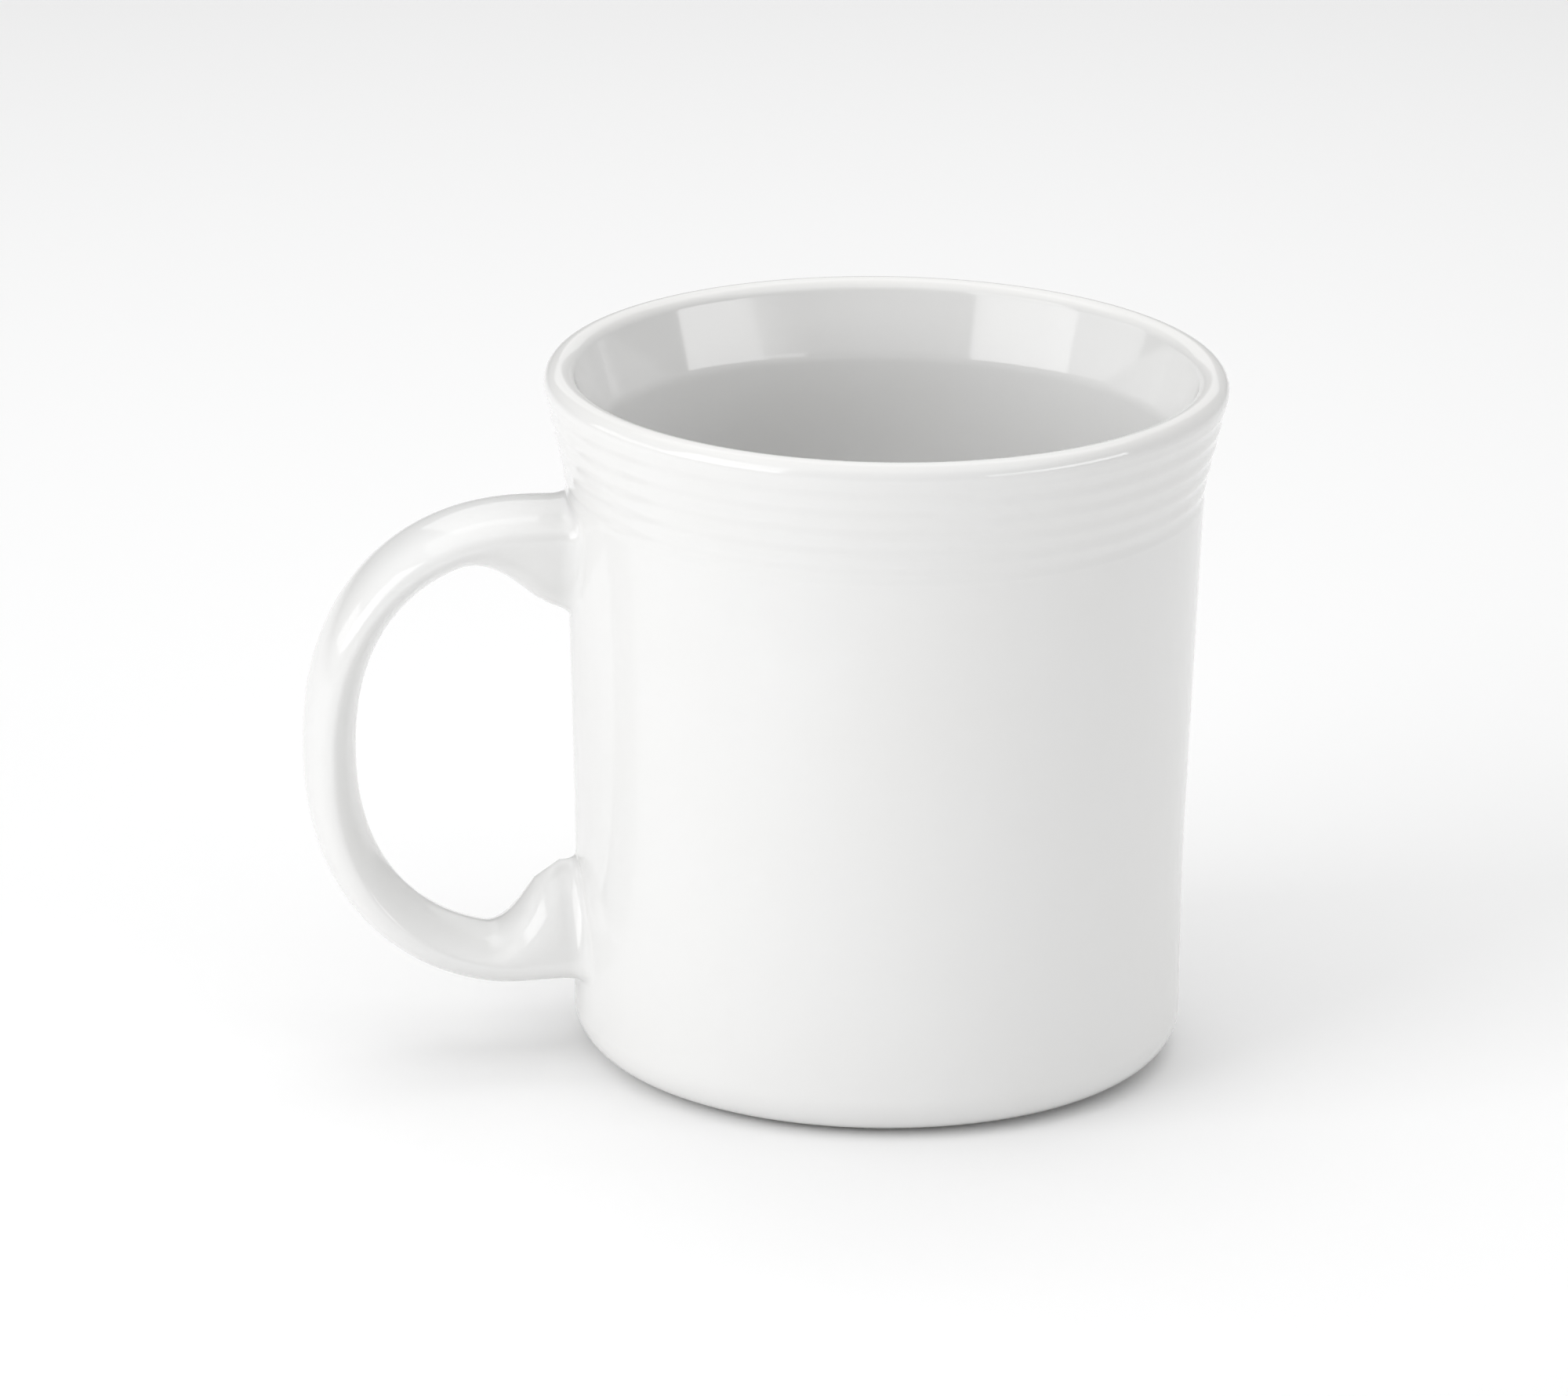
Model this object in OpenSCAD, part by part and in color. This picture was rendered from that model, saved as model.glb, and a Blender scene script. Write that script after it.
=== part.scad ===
// Glazed ceramic mug: a flared cup and a loop handle, luted together with slip and coated with glaze.
// Millimetres. The cup stands on the plane z = 0 with its axis on Z, and the handle points along -X.

/* [Cup] */
// Height from the table to the top of the lip
cup_h = 93.5; // [76:0.1:125]
// Outside diameter across the lip
rim_d = 90; // [84:0.1:110]
// Outside diameter at the neck, where the flare begins
neck_d = 84.2; // [70:0.1:100]
// Outside diameter of the straight lower wall
base_d = 80.9; // [66:0.1:98]
// Height of the flare, from the neck to the top of the lip
flare_h = 15; // [10:0.1:20]
// Height of the flare inside the cup, from the inner neck to the top of the lip
inner_flare_h = 9.8; // [8:0.1:13]
// Height where the straight lower wall starts to widen
taper_z = 27.5; // [18:0.5:40]
// Thickness of the fully rounded lip
lip_t = 4.1; // [3:0.1:6]
// Thickness of the wall, glaze included
wall_t = 4; // [3:0.1:6]
// Thickness of the floor, glaze included
floor_t = 5; // [3:0.1:8]
// Radius of the heel, where the wall turns under
heel_r = 5.4; // [4:0.1:10]
// Radius inside the cup, where the wall meets the floor
well_r = 9; // [4:0.5:14]

/* [Foot] */
// Distance from the heel's lowest line in to the foot ring
foot_inset = 0.7; // [0.2:0.1:3]
// Width of the bare ring that the cup stands on
foot_w = 3; // [2:0.1:6]
// Height of bare clay on the foot ring
foot_h = 0.5; // [0.3:0.1:1.5]
// Depth of the recess under the cup
recess_h = 2; // [1.6:0.1:4]

/* [Grooves] */
// Number of soft grooves round the flare
groove_count = 5; // [1:1:5]
// Distance from one groove to the next
groove_pitch = 2.72; // [1.5:0.01:2.8]
// Depth of a groove
groove_depth = 0.16; // [0.05:0.01:0.3]
// Distance from the top of the lip down to the middle of the first groove
groove_drop = 4.7; // [4.5:0.1:6]

/* [Handle] */
// Distance from the neck down to the middle of the upper arm
upper_drop = 5.7; // [5:0.1:14]
// Height of the middle of the lower arm above the table
lower_rise = 13.7; // [12:0.1:22]
// Length of the straight part of the arms, where they leave the cup
arm_run = 3.9; // [3:0.1:8]
// How far the loop's centre line stands out from the ends of its straight arms
reach = 27.3; // [20:0.1:36]
// Squareness of the loop: 2 is an ellipse, and more is squarer
loop_n = 2.25; // [2:0.05:3]
// Thickness of the grip in the plane of the loop
grip_t = 7; // [5:0.1:10]
// Width of the grip across the loop
grip_w = 16; // [11:0.1:20]
// Extra width of each arm at its root
root_w = 0.2; // [0:0.1:4]
// Squareness of the grip's outer side: 2 is round, and more is squarer
grip_n = 2.3; // [2:0.05:3]
// Squareness of the side that faces into the loop: less than 2 leaves a soft ridge beside it
palm_n = 1.5; // [1.3:0.05:3]
// How far the upper root swells into the loop
upper_swell = 8.4; // [1:0.1:10]
// How far the lower root swells into the loop
lower_swell = 9.1; // [1:0.1:10]
// Length over which the upper root swells
upper_swell_l = 17.9; // [4:0.1:19]
// Length over which the lower root swells
lower_swell_l = 10.6; // [4:0.1:13]
// How far the underside of the lower root tucks up
lower_tuck = 0.8; // [0:0.1:2]

/* [Joints] */
// Thickness of the slip between a handle end and the cup
slip_t = 0.6; // [0.3:0.1:1.2]
// Length of the slip fillet along the handle
fillet_l = 2.1; // [1:0.1:2.6]
// Reach of the slip fillet over the wall, above and below a handle end
fillet_end = 1.2; // [0.6:0.1:2]
// Reach of the slip fillet over the wall, beside a handle end
fillet_side = 3.2; // [1:0.1:5]

/* [Glaze] */
// Thickness of the glaze coat
glaze_t = 0.4; // [0.2:0.05:0.6]

/* [Hidden] */

clay_colour = [0.85, 0.82, 0.77];
slip_colour = [0.80, 0.77, 0.72];
glaze_colour = [0.96, 0.96, 0.955];

// Facets of the lathe-turned solids, and of each round stretch of their outlines
$fn = 128;
arc_steps = 10;
// Steps of the outline over each groove
groove_steps = 8;
// Lengths of the blends where the lower wall starts to widen, at the neck and at the inner neck
belly_blend = 11;
neck_blend = 4.6;
inner_blend = 1.6;
// Fillet in the corner of the recess, and round on the foot ring's edges
recess_r = 1;
foot_edge_r = 0.35;
// Sections along the handle's loop, and points round each section
loop_steps = 40;
section_steps = 24;
// Rings of the slip fillet, and rings that fill the face of a joint
fillet_steps = 4;
face_steps = 4;

base_r = base_d / 2;
lip_r = lip_t / 2;
lip_x = rim_d / 2 - lip_r;
lip_z = cup_h - lip_r;
neck_z = cup_h - flare_h;
inner_neck_z = cup_h - inner_flare_h;
floor_z = recess_h + floor_t;
heel_x = base_r - heel_r;
heel_z = foot_h + heel_r;
foot_out = heel_x - foot_inset;
foot_in = foot_out - foot_w;

// Angle from the vertical of the line from the point [r, z] to the lip, touching its outside
// (side = 1) or its inside (side = -1)
function flare_angle(r, z, side) =
    let (dr = lip_x - r, dz = lip_z - z)
    atan2(dr, dz) + side * asin(lip_r / norm([dr, dz]));

taper_s = (neck_d / 2 - base_r) / (neck_z - taper_z);
inner_neck_r = base_r - wall_t + taper_s * (inner_neck_z - taper_z);

// A flare is [its angle from the vertical, the height where it begins, length of the blend there]
outer_flare = [flare_angle(neck_d / 2, neck_z, 1), neck_z, neck_blend];
inner_flare = [flare_angle(inner_neck_r, inner_neck_z, -1), inner_neck_z, inner_blend];

// Radius gained above height c by a wall whose slope grows by s there, blended over a length l
function bend(z, c, s, l) =
    z <= c - l / 2 ? 0 : z >= c + l / 2 ? s * (z - c) : s * pow(z - c + l / 2, 2) / (2 * l);
function bend_slope(z, c, s, l) = s * max(0, min(1, (z - c) / l + 0.5));

// Radius and slope of a wall that starts as r at the heel and ends in the flare f
function wall(z, r, f) =
    r + bend(z, taper_z, taper_s, belly_blend) + bend(z, f[1], tan(f[0]) - taper_s, f[2]);
function wall_slope(z, f) =
    bend_slope(z, taper_z, taper_s, belly_blend) + bend_slope(z, f[1], tan(f[0]) - taper_s, f[2]);

// Soft grooves: a wave whose crests lie on the wall, so that rings stand between the grooves
groove_top = cup_h - groove_drop + groove_pitch / 2;
groove_low = groove_top - groove_count * groove_pitch;
function groove(z) =
    z > groove_low && z < groove_top
        ? -groove_depth * (1 - cos(360 * (groove_top - z) / groove_pitch)) / 2 : 0;

// Radius of the glazed wall and of the clay under it, at height z
function glazed_r(z) = wall(z, base_r, outer_flare) + groove(z);
function clay_r(z) = glazed_r(z) - glaze_t * norm([1, wall_slope(z, outer_flare)]);

// Outline points carry the direction out of the solid: [radius, height, out r, out z]
function wall_point(z, r, f, side, relief = 0) =
    let (n = [side, -side * wall_slope(z, f)] / norm([1, wall_slope(z, f)]))
    [wall(z, r, f) + relief, z, n.x, n.y];
function arc_points(x, z, r, from, to, side = 1) =
    [for (i = [0 : arc_steps])
        let (a = from + (to - from) * i / arc_steps)
        [x + r * cos(a), z + r * sin(a), side * cos(a), side * sin(a)]];
function steps(from, to, n) = [for (i = [0 : n]) from + (to - from) * i / n];
// The glaze is measured square to the wall, so an inset point moves against its direction
function inset(path, t) = [for (p = path) [p[0] - t * p[2], p[1] - t * p[3]]];
function reverse(list) = [for (i = [len(list) - 1 : -1 : 0]) list[i]];

function blend_z(c, l) = steps(c - l / 2, c + l / 2, arc_steps);
belly_z = blend_z(taper_z, belly_blend);
grooved_z = concat([for (z = blend_z(neck_z, neck_blend)) if (z < groove_low) z],
                   steps(groove_low, groove_top, groove_count * groove_steps));

outer_path = concat(
    [[foot_out, foot_h, 0, -1]],
    arc_points(heel_x, heel_z, heel_r, -90, 0),
    [for (z = concat(belly_z, grooved_z)) wall_point(z, base_r, outer_flare, 1, groove(z))],
    arc_points(lip_x, lip_z, lip_r, -outer_flare[0], 90));
inner_path = concat(
    arc_points(lip_x, lip_z, lip_r, 90, 180 - inner_flare[0]),
    [for (z = reverse(concat(belly_z, blend_z(inner_neck_z, inner_blend))))
        wall_point(z, base_r - wall_t, inner_flare, -1)],
    arc_points(base_r - wall_t - well_r, floor_z + well_r, well_r, 0, -90, -1),
    [[0, floor_z, 0, 1]]);
under_path = concat(
    [[0, recess_h, 0, -1]],
    arc_points(foot_in - glaze_t - recess_r, recess_h - recess_r, recess_r, 90, 0, -1),
    [[foot_in - glaze_t, foot_h, -1, 0]]);
// Bare clay of the foot ring
foot_path = concat(
    arc_points(foot_in + foot_edge_r, foot_edge_r, foot_edge_r, 180, 270),
    arc_points(foot_out - foot_edge_r, foot_edge_r, foot_edge_r, -90, 0));

module cup_body() {
    color(clay_colour)
    rotate_extrude()
    polygon(concat(inset(outer_path, glaze_t), inset(inner_path, glaze_t),
                   inset(under_path, glaze_t), inset(foot_path, 0)));
}

module coat(path) {
    color(glaze_colour)
    rotate_extrude()
    polygon(concat(inset(path, 0), reverse(inset(path, glaze_t))));
}

// ---- Handle ----------------------------------------------------------------------------------
upper_z = neck_z - upper_drop;
arm_x = max(clay_r(upper_z), clay_r(lower_rise)) + slip_t + arm_run;
mid_z = (upper_z + lower_rise) / 2;
half_h = (upper_z - lower_rise) / 2;

function spow(v, e) = sign(v) * pow(abs(v), e);
function smooth(t) = let (u = max(0, min(1, t))) u * u * (3 - 2 * u);
// 0 along the grip and 1 at the root, over a length l that ends a third of it inside the loop's arms
function root_part(r, l) = smooth((arm_x + l * 2 / 3 - r) / l);

// Stations of the centre line: [distance from the axis, height, out of the loop r, out of the loop z]
function loop_station(a) =
    let (e = 2 / loop_n, f = 2 - e, c = abs(cos(a)), s = sin(a),
         n = [pow(c, f) / reach, spow(s, f) / half_h])
    [arm_x + reach * pow(c, e), mid_z + half_h * spow(s, e), n.x / norm(n), n.y / norm(n)];
function arm_station(r, side) = [r, mid_z + side * half_h, 0, side];
function arm_end(side) = clay_r(mid_z + side * half_h) + slip_t;
function arm_stations(side) =
    [for (i = [1 : 2]) arm_station(arm_end(side) + fillet_l * i / 2, side)];
stations = concat(arm_stations(1),
                  [for (i = [0 : loop_steps]) loop_station(90 * cos(180 * i / loop_steps))],
                  reverse(arm_stations(-1)));

// Half sizes of the section at a station, less the coat t: [out of the loop, into the loop, across]
function half_sizes(s, t) =
    let (upper = s[1] > mid_z, k = root_part(s[0], upper ? upper_swell_l : lower_swell_l),
         tuck = upper ? 0 : lower_tuck, swell = upper ? upper_swell : lower_swell)
    [grip_t / 2 - tuck * k - t, grip_t / 2 + swell * k - t, (grip_w + root_w * k) / 2 - t];
// Section points as [out of the loop, across], and the directions out of the section at them
function section_power(b) = 2 / (sin(b) < 0 ? palm_n : grip_n);
function section(h) =
    [for (j = [0 : section_steps - 1])
        let (b = 360 * j / section_steps, e = section_power(b), u = spow(sin(b), e))
        [(u > 0 ? h[0] : h[1]) * u, h[2] * spow(cos(b), e)]];
function section_normals(h) =
    [for (j = [0 : section_steps - 1])
        let (b = 360 * j / section_steps, e = 2 - section_power(b), u = spow(sin(b), e),
             n = [u / (u > 0 ? h[0] : h[1]), spow(cos(b), e) / h[2]])
        n / norm(n)];
function station_ring(s, t) =
    [for (p = section(half_sizes(s, t))) [-(s[0] + p.x * s[2]), p.y, s[1] + p.x * s[3]]];

// A point of a joint's face, on the wall grown by t: w is [height, across]
function on_wall(w, t, bare = true) =
    [-sqrt(pow((bare ? clay_r(w[0]) : glazed_r(w[0])) + t, 2) - pow(w[1], 2)), w[1], w[0]];
function end_outline(side, t) =
    let (z = mid_z + side * half_h)
    [for (p = section(half_sizes(arm_station(arm_end(side), side), t))) [z + side * p.x, p.y]];
function shrink(outline, side, k) =
    [for (w = outline) [mid_z + side * half_h + (w[0] - mid_z - side * half_h) * k, w[1] * k]];
// Outline of the slip fillet on the wall
function fillet_outline(side) =
    let (h = half_sizes(arm_station(arm_end(side), side), glaze_t), n = section_normals(h),
         w = end_outline(side, glaze_t))
    [for (j = [0 : section_steps - 1])
        let (d = fillet_end + (fillet_side - fillet_end) * pow(n[j].y, 2))
        [w[j][0] + side * d * n[j].x, w[j][1] + d * n[j].y]];
// Rings of the slip fillet, from the handle to the wall, each point on a curve that leaves the
// handle and lands on the wall without a step
function fillet_rings(side, t) =
    let (from = station_ring(arm_station(arm_end(side) + fillet_l, side), t),
         corner = [for (w = end_outline(side, t)) on_wall(w, 0, t > 0)],
         to = [for (w = fillet_outline(side)) on_wall(w, 0, t > 0)])
    [for (i = [1 : fillet_steps])
        let (k = i / fillet_steps)
        [for (j = [0 : section_steps - 1])
            pow(1 - k, 2) * from[j] + 2 * k * (1 - k) * corner[j] + k * k * to[j]]];
// Rings over the face of a handle end, from its middle to its edge
function face_rings(side) =
    [for (i = [1 : face_steps])
        [for (w = shrink(end_outline(side, glaze_t), side, i / face_steps)) on_wall(w, slip_t)]];
// Rings over the face of the joint on the cup, from its edge to its middle
function seat_rings(side) =
    [for (i = [face_steps - 1 : -1 : 1])
        [for (w = shrink(fillet_outline(side), side, i / face_steps)) on_wall(w, 0)]];
function face_middle(side, t) = on_wall([mid_z + side * half_h, 0], t);

function flatten(lists) = [for (a = lists) each a];
// Triangles between ring i and ring j. Each facet is split along its shorter diagonal, so that
// solids that share two rings share the facets between them, whichever way they run.
function band(p, i, j) =
    [for (k = [0 : section_steps - 1])
        let (m = section_steps, a = i * m + k, b = i * m + (k + 1) % m,
             c = j * m + (k + 1) % m, d = j * m + k)
        each norm(p[a] - p[c]) < norm(p[b] - p[d]) ? [[a, b, c], [a, c, d]] : [[a, b, d], [b, c, d]]];

// A closed skin through rings, from the point first to the point last
module skin(rings, first, last) {
    n = len(rings);
    m = section_steps;
    p = concat(flatten(rings), [first, last]);
    polyhedron(
        points = p,
        faces = concat(
            flatten([for (i = [0 : n - 2]) band(p, i, i + 1)]),
            [for (k = [0 : m - 1]) [n * m, (k + 1) % m, k]],
            [for (k = [0 : m - 1]) [n * m + 1, (n - 1) * m + k, (n - 1) * m + (k + 1) % m]]));
}

// A closed skin through rings that come back to the first one
module sleeve(rings) {
    n = len(rings);
    p = flatten(rings);
    polyhedron(points = p, faces = flatten([for (i = [0 : n - 1]) band(p, i, (i + 1) % n)]));
}

// Rings along the handle, less the coat t, without the ones that the slip fillets bury
function grip_rings(t) = [for (i = [1 : len(stations) - 2]) station_ring(stations[i], t)];

module handle_body() {
    rings = [for (s = stations) station_ring(s, glaze_t)];
    color(clay_colour)
    skin(concat(face_rings(1), rings, reverse(face_rings(-1))),
         face_middle(1, slip_t), face_middle(-1, slip_t));
}

// Slip: a layer under the handle's end and a fillet round it
module slip_joint(side) {
    arm = [for (s = arm_stations(side)) station_ring(s, glaze_t)];
    rings = concat(face_rings(side), arm, fillet_rings(side, glaze_t), seat_rings(side));
    ends = [face_middle(side, slip_t), face_middle(side, 0)];
    color(slip_colour)
    if (side > 0) skin(reverse(rings), ends[1], ends[0]);
    else skin(rings, ends[0], ends[1]);
}

module upper_slip_joint() { slip_joint(1); }

module lower_slip_joint() { slip_joint(-1); }

// Opening in the outer glaze where a handle root stands
module glaze_opening(side) {
    rotate([0, -90, 0])
    linear_extrude(height = rim_d)
    polygon([for (w = fillet_outline(side)) [w[0], w[1]]]);
}

module outer_glaze() {
    difference() {
        coat(outer_path);
        glaze_opening(1);
        glaze_opening(-1);
    }
}

module liner_glaze() { coat(inner_path); }

module handle_glaze() {
    color(glaze_colour)
    sleeve(concat(
        reverse(fillet_rings(1, 0)), grip_rings(0), fillet_rings(-1, 0),
        reverse(fillet_rings(-1, glaze_t)), reverse(grip_rings(glaze_t)), fillet_rings(1, glaze_t)));
}

module foot_glaze() { coat(under_path); }

cup_body();
handle_body();
upper_slip_joint();
lower_slip_joint();
outer_glaze();
liner_glaze();
handle_glaze();
foot_glaze();
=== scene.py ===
"""Glazed ceramic mug: a flared cup with soft grooves under its lip, and a loop handle.

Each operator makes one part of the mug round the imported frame, in metres: the coats of glaze at
full smoothness, the finishes of the bare clay and slip, and the stage it stands on. The cup's
axis is Z, it stands on z = 0, and the handle points along -X.
"""

import math

import bpy
import numpy as np
from bpy.props import FloatProperty, FloatVectorProperty, IntProperty, PointerProperty
from bpy.types import Operator, Panel, PropertyGroup
from mathutils import Euler, Matrix, Vector


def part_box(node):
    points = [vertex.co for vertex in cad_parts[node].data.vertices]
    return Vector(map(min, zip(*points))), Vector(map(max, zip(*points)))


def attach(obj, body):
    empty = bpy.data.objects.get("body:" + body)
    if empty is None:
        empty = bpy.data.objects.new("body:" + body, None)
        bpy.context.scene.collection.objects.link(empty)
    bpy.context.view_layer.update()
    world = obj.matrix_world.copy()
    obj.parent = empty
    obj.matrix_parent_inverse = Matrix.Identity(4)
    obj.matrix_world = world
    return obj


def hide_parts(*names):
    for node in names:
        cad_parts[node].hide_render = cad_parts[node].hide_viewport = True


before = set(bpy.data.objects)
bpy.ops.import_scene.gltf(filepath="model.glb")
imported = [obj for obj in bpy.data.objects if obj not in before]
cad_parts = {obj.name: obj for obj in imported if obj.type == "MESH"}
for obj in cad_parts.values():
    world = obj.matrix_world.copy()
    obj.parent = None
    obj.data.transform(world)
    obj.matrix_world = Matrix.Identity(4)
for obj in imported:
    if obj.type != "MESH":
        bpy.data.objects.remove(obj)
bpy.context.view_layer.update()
CUP_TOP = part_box("outer_glaze")[1]

bl_info = {
    "name": "Ceramic mug",
    "version": (1, 0, 0),
    "blender": (4, 5, 0),
    "location": "View3D > Sidebar > Mug",
    "description": "Makes a glazed mug round its packed frame",
    "category": "Object",
}

# Facets round the cup, and points round the handle's section
TURNS = 256
SECTION_POINTS = 72
# Steps of the outline on each round stretch, over each groove, and between rows of plain wall
ARC_STEPS = 24
GROOVE_STEPS = 14
WALL_ROW = 0.0012
# Sections along the handle's loop, and rings of each fillet at its roots
LOOP_STEPS = 128
FILLET_RINGS = 14
# Lengths of the blends where the wall starts to widen, at the neck and at the inner neck
BELLY_BLEND = 0.011
NECK_BLEND = 0.0046
INNER_BLEND = 0.0016
# Corner of the recess under the cup, and the rolled edge of the glaze beside the bare ring
RECESS_ROUND = 0.001
GLAZE_EDGE = 0.00025
# How far the outer glaze runs on under the edge of a handle fillet
TUCK = 0.0005
# Anything smaller than this counts as zero
TINY = 1e-9
# Height of the band under the lip's top where the glaze thins, and how much the glaze bends light
THIN_BAND = 0.0016
GLAZE_IOR = 1.52
# Half the floor's side, and from the axis to the softboxes
FLOOR_HALF = 4.0
SOFTBOX_DISTANCE = 1.1
# Directions of the sky's glows round the cup from the camera in degrees, where left is +, and the
# upward share of a direction between which they give way to the overhead sky
LEFT_GLOW_SIDE = 60
BACK_GLOW_SIDE = -150
SKY_FADE = (0.25, 0.85)


# ---- Settings ----------------------------------------------------------------------------------


def length(name, description, default):
    """A length, as a setting."""
    return FloatProperty(name=name, description=description, default=default, min=0,
                         precision=5, subtype="DISTANCE", unit="LENGTH")


def angle(name, description, degrees):
    """An angle, as a setting."""
    return FloatProperty(name=name, description=description, default=math.radians(degrees),
                         subtype="ANGLE", unit="ROTATION")


def share(name, description, default, high=1):
    """A plain number from 0 up, as a setting."""
    return FloatProperty(name=name, description=description, default=default, min=0, max=high,
                         precision=3)


def colour(name, description, default):
    """A colour, as a setting."""
    return FloatVectorProperty(name=name, description=description, default=default, size=3,
                               min=0, max=1, subtype="COLOR")


class CupSettings(PropertyGroup):
    height: length("Height", "From the table to the top of the lip", CUP_TOP.z)
    rim: length("Rim", "Outside diameter across the lip", 2 * CUP_TOP.y)
    neck: length("Neck", "Outside diameter where the flare begins", 0.0842)
    base: length("Base", "Outside diameter of the straight lower wall", 0.0809)
    flare: length("Flare", "Height of the flare", 0.015)
    inner_flare: length("Inner flare", "Height of the flare inside the cup", 0.0098)
    taper: length("Taper", "Height where the lower wall starts to widen", 0.0275)
    lip: length("Lip", "Thickness of the rounded lip", 0.0041)
    wall: length("Wall", "Thickness of the wall, glaze included", 0.004)
    floor: length("Floor", "Thickness of the floor, glaze included", 0.005)
    heel: length("Heel", "Radius where the wall turns under", 0.0054)
    well: length("Well", "Radius where the wall meets the floor inside", 0.009)


class FootSettings(PropertyGroup):
    inset: length("Inset", "From the heel's lowest line in to the bare ring", 0.0007)
    width: length("Width", "Width of the bare ring", 0.003)
    bare: length("Bare height", "Height of bare clay on the ring", 0.0005)
    recess: length("Recess", "Depth of the recess under the cup", 0.002)


class GrooveSettings(PropertyGroup):
    count: IntProperty(name="Count", description="Number of grooves", default=5, min=1, max=5)
    pitch: length("Pitch", "From one groove to the next", 0.00272)
    depth: length("Depth", "Depth of a groove", 0.00016)
    drop: length("Drop", "From the top of the lip to the first groove", 0.0047)


class HandleSettings(PropertyGroup):
    upper_drop: length("Upper drop", "From the neck down to the upper arm", 0.0057)
    lower_rise: length("Lower rise", "Height of the lower arm's middle", 0.0137)
    arm: length("Arm", "Straight part of the arms", 0.0039)
    reach: length("Reach", "How far the loop stands out from the arms", 0.0273)
    loop: share("Loop squareness", "2 is an ellipse, and more is squarer", 2.25, 4)
    thick: length("Thickness", "Thickness of the grip", 0.007)
    wide: length("Width", "Width of the grip", 0.016)
    root_wide: length("Root width", "Extra width of each root", 0.0002)
    back: share("Outer squareness", "Squareness of the grip's outer side; 2 is round", 2.3, 4)
    palm: share("Inner squareness", "Less than 2 leaves a soft ridge beside it", 1.5, 4)
    upper_swell: length("Upper swell", "Swelling of the upper root into the loop", 0.0084)
    lower_swell: length("Lower swell", "Swelling of the lower root into the loop", 0.0091)
    upper_run: length("Upper run", "Length over which the upper root swells", 0.0179)
    lower_run: length("Lower run", "Length over which the lower root swells", 0.0106)
    tuck: length("Lower tuck", "How far the lower root's underside tucks up", 0.0008)


class RootSettings(PropertyGroup):
    slip: length("Slip", "Thickness of the slip under a handle end", 0.0006)
    run: length("Fillet", "Length of the fillet along the handle", 0.0021)
    end: length("Fillet end", "Reach of the fillet above and below", 0.0012)
    side: length("Fillet side", "Reach of the fillet beside the handle", 0.0032)


class FinishSettings(PropertyGroup):
    coat: length("Coat", "Thickness of the glaze", 0.0004)
    glaze: colour("Glaze", "Colour of the glaze", (0.80, 0.80, 0.795))
    thin: colour("Thin glaze", "Colour where the glaze thins over an edge", (0.78, 0.775, 0.76))
    speck: colour("Specks", "Colour of the iron specks", (0.20, 0.17, 0.14))
    gloss: share("Glaze roughness", "Roughness of the glaze", 0.07)
    peel: length("Orange peel", "Height of the fine ripple in the glaze", 0.0000012)
    sway: length("Sway", "Height of the broad waves in the glaze", 0.000012)
    clay: colour("Clay", "Colour of the bare fired clay", (0.66, 0.61, 0.53))
    slip: colour("Slip", "Colour of the fired slip", (0.60, 0.56, 0.49))


class StageSettings(PropertyGroup):
    floor: colour("Floor", "Colour of the floor", (0.95, 0.95, 0.95))
    overhead: share("Overhead", "Brightness of the sky overhead", 0.6, 10)
    left_glow: share("Left glow", "Brightness of the sky on the camera's left", 0.25, 10)
    back_glow: share("Back glow", "Brightness of the sky behind the cup", 0.5, 10)
    key: share("Key light", "Brightness of the wide low softbox", 3.5, 50)
    key_top: share("Key light's top", "Brightness of the softbox above the key light", 2.4, 50)
    side_box: share("Side light", "Brightness of the softbox beside the key light", 1.4, 50)
    fill: share("Fill light", "Brightness of the narrow softbox", 3.9, 50)
    wash: share("Wash light", "Brightness of the faint light beside the fill", 2.4, 50)
    near: share("Near lamp", "Brightness of the lamp close to the handle's side", 0.15, 50)
    close: share("Close lamp", "Brightness of the small lamp beside the handle", 0.66, 50)
    top: share("Top lamp", "Brightness of the lamp over the cup", 0.74, 50)
    back: share("Back lamp", "Brightness of the lamp behind the cup", 0.62, 50)
    distance: length("Camera distance", "From the camera to the cup's middle", 1.326)
    target: length("Target height", "Height on the axis that the camera turns about", 0.0431)
    lens: FloatProperty(name="Lens", description="Focal length", default=229.3,
                        subtype="DISTANCE_CAMERA", unit="CAMERA")
    rise: angle("Camera rise", "Angle of the camera above the table", 18.57)
    side: angle("Camera side", "Direction of the camera round the cup, from +X", 262.6)
    roll: angle("Camera roll", "Turn of the camera about its own line of sight", 0.93)
    pan: angle("Camera pan", "How far the camera looks to the cup's left", 0.556)
    tilt: angle("Camera tilt", "How far the camera looks above the cup's middle", 0.191)


# ---- Shape of the cup --------------------------------------------------------------------------

# An outline is an array of rows [radius, height, out r, out z], where the last two point out of
# the solid. Walking along it keeps the solid on the left.


def bend(z, centre, slope, length):
    """Radius gained by a wall whose slope grows at a height, blended over a length."""
    into = np.clip(z - centre + length / 2, 0, length)
    return slope * (into * into / (2 * length) + np.maximum(z - centre - length / 2, 0))


def bend_slope(z, centre, slope, length):
    """Slope of the same wall at a height."""
    return slope * np.clip((z - centre) / length + 0.5, 0, 1)


def rows(r, z, out_r, out_z):
    """Outline rows, with the directions made unit length."""
    r, z, out_r, out_z = np.broadcast_arrays(*(np.asarray(a, float) for a in (r, z, out_r, out_z)))
    size = np.hypot(out_r, out_z)
    return np.column_stack([r, z, out_r / size, out_z / size])


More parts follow.
